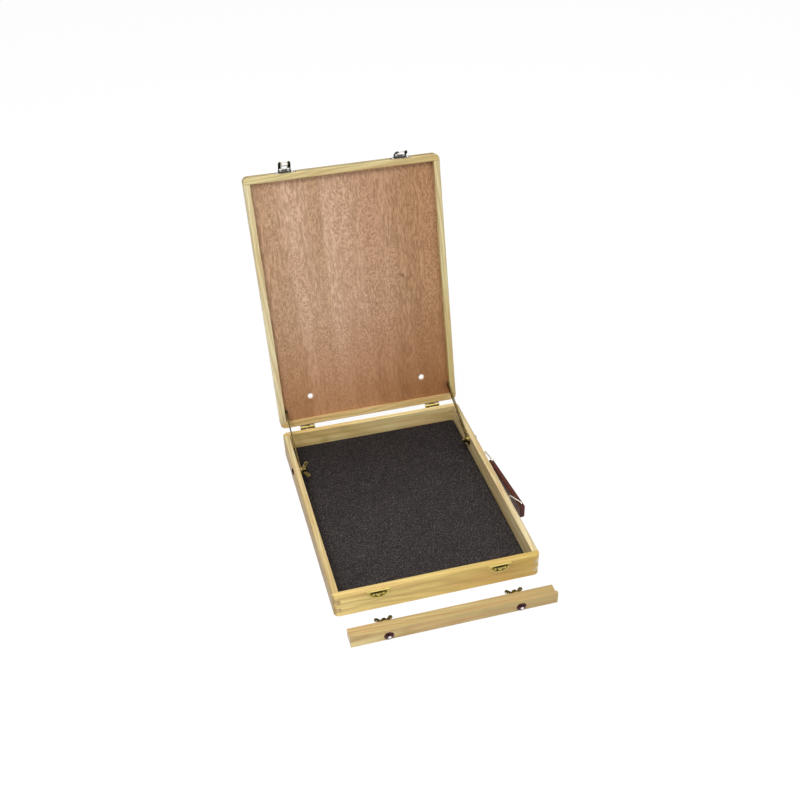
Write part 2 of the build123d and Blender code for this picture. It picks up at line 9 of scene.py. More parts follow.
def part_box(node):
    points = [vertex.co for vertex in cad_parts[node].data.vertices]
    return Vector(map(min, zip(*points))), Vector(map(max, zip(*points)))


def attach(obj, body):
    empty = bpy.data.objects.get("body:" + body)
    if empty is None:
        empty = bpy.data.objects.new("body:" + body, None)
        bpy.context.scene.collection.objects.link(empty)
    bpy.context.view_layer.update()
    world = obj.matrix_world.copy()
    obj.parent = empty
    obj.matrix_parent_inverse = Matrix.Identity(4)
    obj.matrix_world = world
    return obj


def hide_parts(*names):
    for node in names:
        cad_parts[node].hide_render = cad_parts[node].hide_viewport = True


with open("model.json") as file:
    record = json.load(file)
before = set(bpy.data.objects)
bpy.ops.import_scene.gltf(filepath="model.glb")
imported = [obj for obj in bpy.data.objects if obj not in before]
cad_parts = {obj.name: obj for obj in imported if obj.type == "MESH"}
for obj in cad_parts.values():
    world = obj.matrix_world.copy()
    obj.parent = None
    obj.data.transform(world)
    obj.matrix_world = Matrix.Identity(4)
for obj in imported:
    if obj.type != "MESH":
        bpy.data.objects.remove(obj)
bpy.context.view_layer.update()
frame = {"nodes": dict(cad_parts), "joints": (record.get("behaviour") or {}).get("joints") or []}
NODES = frame["nodes"]
JOINTS = {joint["name"]: joint for joint in frame["joints"]}

MM = 0.001

# The box as the frame gives it, in metres

FRONT_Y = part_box("tray_front")[0].y
BACK_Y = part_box("tray_back")[1].y
SIDE_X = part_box("tray_right")[1].x
RIM_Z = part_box("tray_left")[1].z
HINGE = Vector(JOINTS["lid_hinge"]["pos_m"])
LID_OPEN = math.radians(JOINTS["lid_hinge"]["range_deg"][1])
SHUT = Matrix.Rotation(LID_OPEN, 3, "X")
OPENED = Matrix.Rotation(-LID_OPEN, 3, "X")
CATCH_PIVOTS = {side: JOINTS[f"latch_{side}_flip"]["pos_m"] for side in ("left", "right")}


# Camera, in the photograph's frame of 800 by 800

PHOTO_SIDE = 800
FOCAL_PIXELS = 1021.0
CENTRE_PIXEL = (415.7, 521.2)
CAMERA_PLACE = Vector((-0.29285, -1.21385, 1.05769))
CAMERA_FORWARD = Vector((0.18896, 0.73065, -0.65608))
CAMERA_RIGHT = Vector((0.96317, -0.26808, -0.02114))
SENSOR = 36.0


def make_camera():
    """The photograph's camera, as solved from the edges of the box."""
    data = bpy.data.cameras.new("camera")
    data.sensor_width = SENSOR
    data.lens = SENSOR * FOCAL_PIXELS / PHOTO_SIDE
    data.shift_x = (PHOTO_SIDE / 2 - CENTRE_PIXEL[0]) / PHOTO_SIDE
    data.shift_y = (CENTRE_PIXEL[1] - PHOTO_SIDE / 2) / PHOTO_SIDE
    data.clip_start = 0.01
    data.clip_end = 50
    camera = bpy.data.objects.new("camera", data)
    bpy.context.scene.collection.objects.link(camera)
    forward = CAMERA_FORWARD.normalized()
    right = (CAMERA_RIGHT - CAMERA_RIGHT.dot(forward) * forward).normalized()
    up = right.cross(forward)
    turn = Matrix((right, up, -forward)).transposed()
    camera.matrix_world = Matrix.Translation(CAMERA_PLACE) @ turn.to_4x4()
    bpy.context.scene.camera = camera


# Material building

# Places of the colour sockets on the mix node.
MIX_COLOUR_A = 6
MIX_COLOUR_B = 7
MIX_COLOUR_OUT = 2


def linear(r, g, b):
    """A screen colour, given in 0 to 255, as the linear colour that a shader takes."""
    def one(c):
        c /= 255.0
        return c / 12.92 if c <= 0.04045 else ((c + 0.055) / 1.055) ** 2.4
    return (one(r), one(g), one(b), 1.0)


def grey(level):
    """A grey, given as its linear level."""
    return (level, level, level, 1.0)


class NodeTree:
    """Short calls for the nodes that these finishes use."""

    def __init__(self, tree):
        self.tree = tree

    def add(self, kind, **settings):
        """A new node with its settings."""
        node = self.tree.nodes.new(kind)
        for key, value in settings.items():
            setattr(node, key, value)
        return node

    def put(self, socket, value):
        """Link an output to a socket, or set the socket's own value."""
        if isinstance(value, bpy.types.NodeSocket):
            self.tree.links.new(value, socket)
        else:
            socket.default_value = value

    def scaled(self, vector, scale, move=(0, 0, 0)):
        """A place scaled on each axis and then moved."""
        mapping = self.add("ShaderNodeMapping")
        self.put(mapping.inputs["Vector"], vector)
        mapping.inputs["Scale"].default_value = scale
        mapping.inputs["Location"].default_value = move
        return mapping.outputs["Vector"]

    def noise(self, vector, scale, detail=3.0, roughness=0.55, distortion=0.0, output="Fac"):
        """Cloudy noise at a place, as a value or, by its output's name, as a colour."""
        node = self.add("ShaderNodeTexNoise")
        self.put(node.inputs["Vector"], vector)
        node.inputs["Scale"].default_value = scale
        node.inputs["Detail"].default_value = detail
        node.inputs["Roughness"].default_value = roughness
        node.inputs["Distortion"].default_value = distortion
        return node.outputs[output]

    def cells(self, vector, scale, feature="F1"):
        """Distance to the middle of the nearest of many scattered cells."""
        node = self.add("ShaderNodeTexVoronoi", feature=feature)
        self.put(node.inputs["Vector"], vector)
        node.inputs["Scale"].default_value = scale
        return node.outputs["Distance"]

    def distance(self, x, y, centre_x, centre_y):
        """Distance of a place from a centre in two coordinates."""
        dx = self.math("SUBTRACT", x, centre_x)
        dy = self.math("SUBTRACT", y, centre_y)
        return self.math("SQRT", self.math("MULTIPLY_ADD", dx, dx, self.math("MULTIPLY", dy, dy)))

    def math(self, operation, a, b=0.0, c=0.0):
        """One operation on up to three values, which are numbers or outputs."""
        node = self.add("ShaderNodeMath", operation=operation)
        for socket, value in zip(node.inputs, (a, b, c)):
            self.put(socket, value)
        return node.outputs[0]

    def split(self, vector):
        """The X, Y and Z of a vector."""
        node = self.add("ShaderNodeSeparateXYZ")
        self.put(node.inputs[0], vector)
        return node.outputs

    def ramp(self, value, stops):
        """Colour ramp through (place, colour) stops."""
        node = self.add("ShaderNodeValToRGB")
        self.put(node.inputs[0], value)
        elements = node.color_ramp.elements
        while len(elements) < len(stops):
            elements.new(0.5)
        for element, (place, colour) in zip(elements, stops):
            element.position = place
            element.color = colour
        return node.outputs["Color"]

    def share(self, value, low, high, amount=1.0):
        """A value's rise from low to high, as a share from 0 to the amount."""
        node = self.add("ShaderNodeMapRange")
        self.put(node.inputs["Value"], value)
        node.inputs["From Min"].default_value = low
        node.inputs["From Max"].default_value = high
        node.inputs["To Max"].default_value = amount
        return node.outputs["Result"]

    def mix(self, factor, a, b, blend="MIX"):
        """Colour a with b laid over it by the factor."""
        node = self.add("ShaderNodeMix", data_type="RGBA", blend_type=blend)
        self.put(node.inputs["Factor"], factor)
        self.put(node.inputs[MIX_COLOUR_A], a)
        self.put(node.inputs[MIX_COLOUR_B], b)
        return node.outputs[MIX_COLOUR_OUT]


class Shader(NodeTree):
    """A material with a principled surface."""

    def __init__(self, name):
        self.material = bpy.data.materials.new(name)
        self.material.use_nodes = True
        super().__init__(self.material.node_tree)
        self.surface = self.tree.nodes["Principled BSDF"]

    def finish(self, **values):
        """Set or link sockets of the surface, named in plain words."""
        for key, value in values.items():
            socket = key.replace("_", " ").title().replace("Ior", "IOR")
            self.put(self.surface.inputs[socket], value)
        return self.material

    def coords(self, turn=(0, 0, 0), move=(0, 0, 0)):
        """Object coordinates, turned and then moved."""
        source = self.add("ShaderNodeTexCoord").outputs["Object"]
        mapping = self.add("ShaderNodeMapping")
        self.put(mapping.inputs["Vector"], source)
        mapping.inputs["Rotation"].default_value = turn
        mapping.inputs["Location"].default_value = move
        return mapping.outputs["Vector"]

    def attribute(self, name):
        """A value that the mesh holds for each point."""
        return self.add("ShaderNodeAttribute", attribute_name=name).outputs["Fac"]

    def normal(self):
        """The direction that the surface faces, in the object's axes."""
        return self.add("ShaderNodeTexCoord").outputs["Normal"]

    def facing(self, turn):
        """How far the surface faces along the turned X axis, from 0 to 1."""
        mapping = self.add("ShaderNodeMapping", vector_type="NORMAL")
        self.put(mapping.inputs["Vector"], self.normal())
        mapping.inputs["Rotation"].default_value = turn
        return self.math("ABSOLUTE", self.split(mapping.outputs["Vector"])[0])

    def rounded(self, radius):
        """Normal of the surface as if its sharp edges were rounded."""
        soft = self.add("ShaderNodeBevel", samples=4)
        soft.inputs["Radius"].default_value = radius
        return soft.outputs["Normal"]

    def edge(self, rounded):
        """Nearness of a sharp edge: one less the cosine between true and rounded normals."""
        flat = self.add("ShaderNodeNewGeometry").outputs["True Normal"]
        dot = self.add("ShaderNodeVectorMath", operation="DOT_PRODUCT")
        self.put(dot.inputs[0], flat)
        self.put(dot.inputs[1], rounded)
        return self.math("SUBTRACT", 1.0, dot.outputs["Value"])

    def openness(self, reach):
        """Share of the sky over a point that nothing within reach covers."""
        node = self.add("ShaderNodeAmbientOcclusion", samples=6)
        node.inputs["Distance"].default_value = reach
        return node.outputs["AO"]

    def bump(self, height, strength, distance, normal=None):
        """Bump over the surface or over a normal that is given."""
        node = self.add("ShaderNodeBump")
        node.inputs["Strength"].default_value = strength
        node.inputs["Distance"].default_value = distance
        self.put(node.inputs["Height"], height)
        if normal is not None:
            self.put(node.inputs["Normal"], normal)
        return node.outputs["Normal"]


# Wood

RING_STEP = 6.6 * MM
PINE_EDGE = 1.0 * MM
PANEL_EDGE = 0.4 * MM
END_TINT = (0.66, 0.56, 0.42, 1.0)
# Tint of the painted shade on faces towards smaller X.
FLANK_SHADE_TINT = (0.50, 0.40, 0.24, 1.0)

# Marks on the panel in mm on the shut lid: centre, full within, none beyond, amount, colour.
PANEL_SPOTS = (((-97.5, 157.5), 4.3, 5.4, 0.8, (240, 222, 204)),
               ((97.5, 157.5), 4.3, 5.4, 0.8, (240, 222, 204)),
               ((80.4, -22.4), 1.0, 4.2, 0.75, (104, 70, 48)),
               ((33.8, 19.0), 1.0, 4.4, 0.55, (120, 84, 60)))


def grain_frame(along, lid):
    """Turn and move that bring a piece's fibres along X, with a lid piece first shut."""
    turn = SHUT if lid else Matrix.Identity(3)
    move = HINGE - turn @ HINGE
    if along == "Y":
        swap = Matrix.Rotation(-math.pi / 2, 3, "Z")
        turn = swap @ turn
        move = swap @ move
    return turn.to_euler(), move


def pine(name, along, lid=False, seed=0.0, pale=(224, 206, 156), warm=(206, 178, 118), figure=1.0,
         far_shade_tint=(1.0, 1.0, 1.0), end_grain=0.8, flank_shade=0.0):
    """Clear lacquered pine: growth rings about a far pith line, fibres and a slow drift of hue.

    Rings are the sine of the distance from a line that lies almost along the fibres, so a
    long face shows drawn-out flames and a cut end shows arcs. Painted shade takes the board's
    colour to the far shade tint at the end towards larger X, or towards the hinges on a lid
    side. End grain is how far its cut ends are darkened. Flank shade is how far painted shade
    darkens it where it faces towards smaller X, and how much of its lacquer's shine is
    taken off.
    """
    s = Shader(name)
    turn, move = grain_frame(along, lid)
    shift = Vector((seed * 0.73, seed * 0.031, seed * 0.017))
    place = s.coords(turn, move + shift)
    x, y, z = s.split(place)
    board_x = s.math("SUBTRACT", x, shift.x)
    drift = s.noise(s.scaled(place, (3.4, 14, 14)), 1.0, 2.0)
    wave = s.noise(s.scaled(place, (9, 45, 45)), 1.0, 3.0)
    pith_y = s.math("ADD", y, 0.046 + 0.013 * math.sin(7 * seed) - shift.y)
    pith_z = s.math("SUBTRACT", z, 0.062 + 0.02 * math.cos(5 * seed) + shift.z)
    pith_y = s.math("MULTIPLY_ADD", x, 0.05, pith_y)
    across = s.distance(pith_y, pith_z, 0.0, 0.0)
    across = s.math("MULTIPLY_ADD", drift, 0.040, across)
    across = s.math("MULTIPLY_ADD", wave, 0.004, across)
    ring = s.math("SINE", s.math("MULTIPLY", across, 2 * math.pi / RING_STEP))
    ring = s.math("POWER", s.math("MULTIPLY_ADD", ring, 0.5, 0.5), 2.4)
    fibre = s.noise(s.scaled(place, (22, 700, 700)), 1.0, 2.0, 0.6)
    streak = s.noise(s.scaled(place, (5, 150, 150)), 1.0, 2.0, 0.5)
    patch = s.noise(s.scaled(place, (4.5, 34, 34), (3.1, 0.4, 0.7)), 1.0, 2.0)
    blush = s.noise(s.scaled(place, (6, 50, 50), (0.3, 1.4, 2.7)), 1.0, 2.0)
    base = s.ramp(patch, [(0.34, linear(*pale)), (0.66, linear(*warm))])
    # Painted shade: the board darkens to the far shade tint towards larger X, or towards the hinges on
    # a lid.
    base = s.mix(s.share(board_x, -0.16, 0.16), base, (*far_shade_tint, 1.0), "MULTIPLY")
    late = linear(*(0.93 * c - 10 for c in warm))
    brown = linear(164, 122, 66)
    base = s.mix(s.math("MULTIPLY", ring, 0.7 * figure), base, late)
    base = s.mix(s.share(blush, 0.56, 0.74, 0.40 * figure), base, linear(206, 150, 98))
    base = s.mix(s.share(streak, 0.50, 0.76, 0.50 * figure), base, brown)
    base = s.mix(s.share(fibre, 0.46, 0.74, 0.40), base, brown)
    base = s.mix(s.share(s.facing(turn), 0.75, 0.95, end_grain), base, END_TINT, "MULTIPLY")
    # Painted shade where the board faces towards smaller X, with less lacquer shine there.
    if flank_shade:
        facing_x = s.split(s.normal())[0]
        base = s.mix(s.share(facing_x, -0.4, -0.9, flank_shade), base, FLANK_SHADE_TINT, "MULTIPLY")
    soft = s.rounded(PINE_EDGE)
    base = s.mix(s.share(s.edge(soft), 0.02, 0.22, 0.65), base, linear(140, 102, 50))
    height = s.math("ADD", fibre, ring)
    rough = s.math("MULTIPLY_ADD", fibre, 0.25, 0.30)
    return s.finish(base_color=base, roughness=rough, normal=s.bump(height, 0.12, 0.0003, soft),
                    coat_weight=0.35 * (1 - flank_shade), coat_roughness=0.18,
                    specular_ior_level=0.45 * (1 - flank_shade))


def plywood(name, along, lid):
    """Sanded tropical plywood: a dense worm-like curl and short pores along the grain.

    Wide soft bands change its hue, and painted shade turns it browner to one side and towards the
    hinges.
    """
    s = Shader(name)
    turn, move = grain_frame(along, lid)
    place = s.coords(turn, move)
    x, y, _ = s.split(place)
    sway = s.add("ShaderNodeVectorMath", operation="MULTIPLY_ADD")
    s.put(sway.inputs[0], s.noise(s.scaled(place, (16, 34, 34)), 1.0, 2.0, 0.5, output="Color"))
    sway.inputs[1].default_value = (0.010, 0.012, 0.0)
    s.put(sway.inputs[2], place)
    swayed = sway.outputs[0]
    curl = s.noise(s.scaled(swayed, (240, 400, 400)), 1.0, 0.0, 0.5, 1.1)
    long_curl = s.noise(s.scaled(swayed, (75, 400, 400), (1.7, 2.9, 0.3)), 1.0, 1.0, 0.5, 0.8)
    blend = s.noise(s.scaled(place, (6, 30, 30), (0.9, 0.2, 0.4)), 1.0, 1.0)
    pores = s.noise(s.scaled(swayed, (220, 1100, 1100)), 1.0, 2.0, 0.65)
    bands = s.noise(s.scaled(place, (1.1, 26, 26), (0.0, 0.31, 0.0)), 1.0, 2.0, 0.5)
    patch = s.noise(s.scaled(place, (10, 22, 22)), 1.0, 3.0, 0.6)
    base = s.ramp(bands, [(0.34, linear(184, 147, 119)), (0.48, linear(190, 155, 128)),
                          (0.66, linear(173, 138, 107))])
    base = s.mix(s.share(patch, 0.45, 0.75, 0.40), base, linear(172, 134, 102))
    # Painted shade: browner to one side and towards the hinges.
    base = s.mix(s.share(x, 0.02, 0.17), base, (0.86, 0.70, 0.52, 1.0), "MULTIPLY")
    base = s.mix(s.share(y, 0.03, -0.12), base, (0.73, 0.63, 0.48, 1.0), "MULTIPLY")
    worm = s.mix(s.share(blend, 0.40, 0.60), curl, long_curl)
    calm = s.math("SUBTRACT", 1.0, s.share(x, 0.02, 0.17, 0.5))
    light = s.math("MULTIPLY", s.share(worm, 0.50, 0.60, 0.75), calm)
    shade = s.math("MULTIPLY", s.share(worm, 0.49, 0.38, 0.60), calm)
    base = s.mix(light, base, (1.32, 1.36, 1.42, 1.0), "MULTIPLY")
    base = s.mix(shade, base, (0.70, 0.63, 0.57, 1.0), "MULTIPLY")
    base = s.mix(s.share(pores, 0.54, 0.70, 0.40), base, linear(120, 86, 64))
    for (spot_x, spot_y), inner, outer, amount, colour in PANEL_SPOTS if lid else ():
        near = s.distance(x, y, spot_y * MM, -spot_x * MM)
        base = s.mix(s.share(near, outer * MM, inner * MM, amount), base, linear(*colour))
    normal = s.bump(pores, 0.2, 0.0003, s.rounded(PANEL_EDGE))
    return s.finish(base_color=base, roughness=0.62, normal=normal, specular_ior_level=0.3)


# Metal, foam and leatherette

METAL_EDGE = 0.3 * MM
GRIP_EDGE = 1.0 * MM
THREAD_PITCH = 0.8 * MM
RECESS_SHADE_REACH = 3.0 * MM
ROLLED_SIDE_SHADE = (5.0 * MM, 6.0 * MM)


def metal(name, colour, dark, roughness, tarnish=0.5, edge=METAL_EDGE, bolt=None, wear_and_glint=0.7):
    """Plated metal: a slow cloud of tarnish, recesses darkened by painted shade and dirt, and
    softened edges brightened by wear and a painted highlight.

    A bolt is given as its axis and a bound. Where that coordinate's size is below the bound
    the surface has rings of the thread's pitch. The crown of a head, where it faces along
    the axis, carries a painted highlight.
    """
    s = Shader(name)
    place = s.coords()
    cloud = s.noise(place, 160, 4.0, 0.6)
    marks = s.noise(s.scaled(place, (900, 900, 2600)), 1.0, 2.0, 0.6)
    base = s.mix(s.share(cloud, 0.42, 0.68, tarnish), colour, dark)
    soft = s.rounded(edge)
    # Painted highlight, with worn brightness, on the softened edges.
    base = s.mix(s.share(s.edge(soft), 0.04, 0.30, wear_and_glint), base, linear(244, 236, 214))
    # Painted shade and dirt darken the recesses.
    base = s.mix(s.share(s.openness(RECESS_SHADE_REACH), 0.75, 0.25, 0.9), base, linear(26, 22, 14))
    rough = s.math("MULTIPLY_ADD", cloud, 0.2, roughness - 0.1)
    normal = s.bump(marks, 0.08, 0.0002, soft)
    if bolt:
        axis, bound = bolt
        along = s.split(place)[axis]
        face = s.math("ABSOLUTE", s.split(s.normal())[axis])
        # Painted highlight on the crown of the head.
        base = s.mix(s.share(face, 0.95, 0.995), base, linear(255, 250, 246))
        wave = s.math("SINE", s.math("MULTIPLY", along, 2 * math.pi / THREAD_PITCH))
        inside = s.share(s.math("ABSOLUTE", along), bound, bound - 0.1 * MM)
        normal = s.bump(s.math("MULTIPLY", wave, inside), 1.0, 0.0004, normal)
    return s.finish(base_color=base, metallic=1.0, roughness=rough, normal=normal)


def struck_metal(name, high_colour, low_colour, roughness):
    """Metal whose raised and rubbed places, marked by the mesh's "relief", are the brighter."""
    s = Shader(name)
    cloud = s.noise(s.coords(), 420, 3.0, 0.6)
    relief = s.math("MULTIPLY_ADD", cloud, 0.4, s.math("SUBTRACT", s.attribute("relief"), 0.2))
    base = s.mix(s.share(relief, 0.30, 0.85), low_colour, high_colour)
    rough = s.math("MULTIPLY_ADD", cloud, 0.25, roughness - 0.12)
    return s.finish(base_color=base, metallic=1.0, roughness=rough, normal=s.bump(cloud, 0.15, 0.0002))


def foam(name):
    """Dark open-cell foam: small cells, worm-like specks of painted highlight and pores of painted
    shade.

    Painted shade makes it darker towards the hinges.
    """
    s = Shader(name)
    place = s.coords()
    cells = s.cells(place, 560)
    fine = s.noise(place, 1300, 2.0, 0.7)
    glint_flecks = s.noise(place, 720, 1.0, 0.6, 1.3)
    shade_pits = s.noise(s.scaled(place, (1, 1, 1), (0.5, 0.2, 0.9)), 520, 1.0, 0.6, 1.0)
    cloud = s.noise(place, 22, 3.0, 0.5)
    base = s.ramp(fine, [(0.30, linear(36, 32, 33)), (0.72, linear(61, 56, 56))])
    # Painted highlights on the cells' edges, as light specks.
    base = s.mix(s.share(glint_flecks, 0.53, 0.66, 0.66), base, linear(128, 122, 118))
    # Painted shade in the pores, as dark specks.
    base = s.mix(s.share(shade_pits, 0.48, 0.62, 0.72), base, linear(20, 18, 18))
    base = s.mix(s.share(cloud, 0.40, 0.70, 0.25), base, linear(44, 40, 41))
    # Painted shade towards the hinges.
    base = s.mix(s.share(s.split(place)[1], -0.02, 0.17), base, (0.62, 0.60, 0.60, 1.0), "MULTIPLY")
    height = s.math("MULTIPLY_ADD", fine, 0.6, cells)
    return s.finish(base_color=base, roughness=0.95, normal=s.bump(height, 0.9, 0.0012),
                    specular_ior_level=0.1)


def leatherette(name):
    """Red-brown embossed leatherette in a cloud of two shades."""
    s = Shader(name)
    place = s.coords()
    grain = s.cells(place, 900, "SMOOTH_F1")
    cloud = s.noise(place, 90, 3.0, 0.5)
    base = s.ramp(cloud, [(0.3, linear(58, 20, 12)), (0.75, linear(92, 38, 26))])
    return s.finish(base_color=base, roughness=0.42,
                    normal=s.bump(grain, 0.35, 0.0004, s.rounded(GRIP_EDGE)),
                    specular_ior_level=0.25)


# Materials of the CAD nodes

BRASS = metal("brassed steel", linear(206, 184, 108), linear(84, 66, 26), 0.28)
OLIVE = metal("tarnished brassed steel", linear(98, 82, 44), linear(38, 28, 13), 0.32, 0.8)
NUT_BRASS = metal("wing nut plating", linear(116, 100, 54), linear(34, 27, 12), 0.24, 0.9, 1.0 * MM,
                  wear_and_glint=1.0)
# A lighter copy of the brass: painted light on the keepers' lips.
KEEPER_BRASS_PAINTED_LIGHT = metal("keeper plating painted light", linear(240, 224, 134), linear(126, 104, 44), 0.30, 0.4)
NICKEL = metal("bright plating", linear(248, 246, 238), linear(132, 128, 112), 0.18, 0.3)


def lever_plating(name):
    """Bright plating of the levers, with painted shade where their long sides roll over."""
    s = Shader(name)
    place = s.coords()
    cloud = s.noise(place, 160, 4.0, 0.6)
    left, right = (pivot[0] for pivot in CATCH_PIVOTS.values())
    off = s.math("SUBTRACT", s.split(place)[0], (left + right) / 2)
    off = s.math("SUBTRACT", s.math("ABSOLUTE", off), (right - left) / 2)
    roll = s.share(s.math("ABSOLUTE", off), *ROLLED_SIDE_SHADE)
    base = s.mix(s.share(cloud, 0.5, 0.75, 0.3), linear(252, 251, 246), linear(190, 188, 172))
    # Painted shade on the rolled sides.
    base = s.mix(roll, base, linear(34, 34, 22))
    return s.finish(base_color=base, metallic=0.55, roughness=0.28,
                    normal=s.bump(cloud, 0.05, 0.0002, s.rounded(METAL_EDGE)))


def clad(node, material):
    """Give a CAD node its material in every slot."""
    mesh = NODES[node].data
    if not mesh.materials:
        mesh.materials.append(material)
    for i in range(len(mesh.materials)):
        mesh.materials[i] = material


def dress_wood():
    """Each board has its own hue and its own run of the grain."""
    clad("tray_front", pine("pine tray front", "X", seed=1.0, figure=0.8, flank_shade=0.6,
                            far_shade_tint=(0.78, 0.71, 0.50),
                            pale=(238, 218, 148), warm=(220, 190, 114)))
    clad("tray_back", pine("pine tray back", "X", seed=2.0, pale=(242, 226, 170), warm=(230, 202, 134)))
    clad("lid_front", pine("pine lid front", "X", lid=True, seed=3.0, far_shade_tint=(0.84, 0.74, 0.60),
                           pale=(220, 210, 162), warm=(203, 184, 128)))
    clad("lid_back", pine("pine lid back", "X", lid=True, seed=4.0,
                          pale=(224, 202, 146), warm=(208, 176, 112)))
    clad("tray_left", pine("pine tray left", "Y", seed=5.0, end_grain=0.25, flank_shade=0.8,
                           pale=(220, 205, 158), warm=(205, 181, 126)))
    clad("tray_right", pine("pine tray right", "Y", seed=6.0, end_grain=0.25,
                            pale=(225, 211, 166), warm=(211, 188, 134)))
    clad("lid_left", pine("pine lid left", "Y", lid=True, seed=7.0,
                          pale=(227, 218, 180), warm=(214, 195, 146)))
    clad("lid_right", pine("pine lid right", "Y", lid=True, seed=8.0, far_shade_tint=(0.86, 0.88, 0.66),
                           pale=(215, 202, 158), warm=(202, 180, 128)))
    clad("ledge_bar", pine("pine ledge", "X", seed=9.3, figure=1.7, far_shade_tint=(0.56, 0.48, 0.36),
                           pale=(227, 209, 149), warm=(201, 176, 112)))
    clad("tray_floor", plywood("plywood floor", "Y", False))
    clad("lid_panel", plywood("plywood panel", "Y", True))


def dress_metal():
    """The fittings, picked out by their nodes' names, and the grip."""
    levers = lever_plating("lever plating")
    for node in NODES:
        if node in ("stay_left", "stay_right", "stay_screws"):
            clad(node, OLIVE)
        elif node.startswith("latch_lever"):
            clad(node, levers)
        elif "wing_nut" in node:
            clad(node, NUT_BRASS)
        elif node.startswith(("hinge", "stay", "ledge_w")):
            clad(node, BRASS)
        elif node.startswith(("latch", "handle")):
            clad(node, NICKEL)
    bronze = {"colour": linear(86, 56, 56), "dark": linear(34, 20, 24), "roughness": 0.16}
    ledge_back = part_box("ledge_bar")[0].y
    clad("ledge_bolts", metal("ledge bolt plating", **bronze, bolt=(1, -ledge_back)))
    clad("stay_bolts", metal("stay bolt plating", **bronze, bolt=(0, SIDE_X)))
    clad("keepers", KEEPER_BRASS_PAINTED_LIGHT)
    clad("handle_grip", leatherette("leatherette"))


# Mesh building

UP = np.array([0, 0, 1.0])


def with_the_lid(places):
    """Places given on the shut lid, turned to where the open lid holds them."""
    hinge = np.array(HINGE)
    return (np.array(places) - hinge) @ np.array(OPENED).T + hinge


def make_piece(name, points, faces, material, body, relief=None):
    """A smooth closed mesh from arrays of points and of triangles or quads, riding on a body."""
    mesh = bpy.data.meshes.new(name)
    mesh.from_pydata(points.tolist(), [], [face for group in faces for face in group.tolist()])
    mesh.materials.append(material)
    mesh.polygons.foreach_set("use_smooth", np.ones(len(mesh.polygons), bool))
    if relief is not None:
        mesh.attributes.new("relief", "FLOAT", "POINT").data.foreach_set("value", relief)
    mesh.update()
    piece = bpy.data.objects.new(name, mesh)
    bpy.context.scene.collection.objects.link(piece)
    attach(piece, body)
    return piece


def grid_quads(rows, columns, closed_rows=False, closed_columns=False):
    """Quads over a grid of points whose number is row times columns plus column."""
    r, c = np.meshgrid(np.arange(rows - (not closed_rows)), np.arange(columns - (not closed_columns)),
                       indexing="ij")
    below = (r + 1) % rows
    right = (c + 1) % columns
    quads = np.stack([r * columns + c, r * columns + right, below * columns + right,
                      below * columns + c], -1)
    return quads.reshape(-1, 4)


def grid_shell(top, bottom):
    """Points and quads of a closed slab between two equal grids of points.

    The top grid is numbered first; a ring of walls joins the borders of the two.
    """
    rows, columns = top.shape[:2]
    n = rows * columns
    points = np.concatenate([top.reshape(n, 3), bottom.reshape(n, 3)])
    under = grid_quads(rows, columns)
    ring = np.concatenate([np.arange(rows) * columns,
                           (rows - 1) * columns + np.arange(1, columns),
                           np.arange(rows - 2, -1, -1) * columns + columns - 1,
                           np.arange(columns - 2, 0, -1)])
    after = np.roll(ring, -1)
    side = np.stack([ring, ring + n, after + n, after], -1)
    return points, [under[:, ::-1], under + n, side]


# Foam liner

FOAM_ROLL = 2.6 * MM
FOAM_CORNER = 6.0 * MM
FOAM_SWELL = 0.3 * MM
FOAM_SINK = 0.7 * MM
FOAM_FADE = 20 * MM
FOAM_GRID = (150, 200)
GRID_GATHER = 0.8


def round_corners(x, y, half, radius):
    """Draw a rectangle's corners in to quarter circles.

    In each corner square, a point's offset from the circle's centre is scaled by its longer
    side over its length, which takes the square's edge to the circle.
    """
    dx = np.maximum(np.abs(x) - (half[0] - radius), 0)
    dy = np.maximum(np.abs(y) - (half[1] - radius), 0)
    length = np.hypot(dx, dy)
    scale = np.where(length > 0, np.maximum(dx, dy) / np.maximum(length, 1e-9), 1.0)
    both = (dx > 0) & (dy > 0)
    move = np.where(both, 1 - scale, 0.0)
    return x - np.sign(x) * dx * move, y - np.sign(y) * dy * move


def foam_sheet():
    """Sheet of foam: a grid top that dips and swells a little and rolls over at its edges.

    The top is the sheet's height less a quarter-round roll at the edge plus slow sines, which
    fade out towards the edge. The underside is the same grid laid flat. The grid's places are
    evenly spaced ones to a power below one, which gathers them at the edges.
    """
    low, high = (np.array(corner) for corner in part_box("foam_liner"))
    even = [np.linspace(-1, 1, count) for count in FOAM_GRID]
    gu, gv = np.meshgrid(*(np.sign(t) * np.abs(t) ** GRID_GATHER for t in even), indexing="ij")
    half = (high - low) / 2
    edge = np.minimum(half[0] * (1 - np.abs(gu)), half[1] * (1 - np.abs(gv)))
    x, y = round_corners(half[0] * gu, half[1] * gv, half, FOAM_CORNER)
    x, y = x + (high[0] + low[0]) / 2, y + (high[1] + low[1]) / 2
    roll = FOAM_ROLL - np.sqrt(np.maximum(FOAM_ROLL**2 - np.maximum(FOAM_ROLL - edge, 0) ** 2, 0))
    swell = FOAM_SWELL * (np.sin(31 * x + 0.7) * np.cos(23 * y - 0.4) + np.sin(11 * x - 17 * y))
    top = high[2] - FOAM_SINK + swell * np.clip(edge / FOAM_FADE, 0, 1) - roll
    points, faces = grid_shell(np.stack([x, y, top], -1), np.stack([x, y, np.full_like(x, low[2])], -1))
    piece = make_piece("foam_sheet", points, faces, foam("foam"), "tray")
    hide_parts("foam_liner")


# Handle rings

BEND_R = 2.4 * MM
WIRE_R = 1.1 * MM
BEND_STEPS = 9
WIRE_SIDES = 20


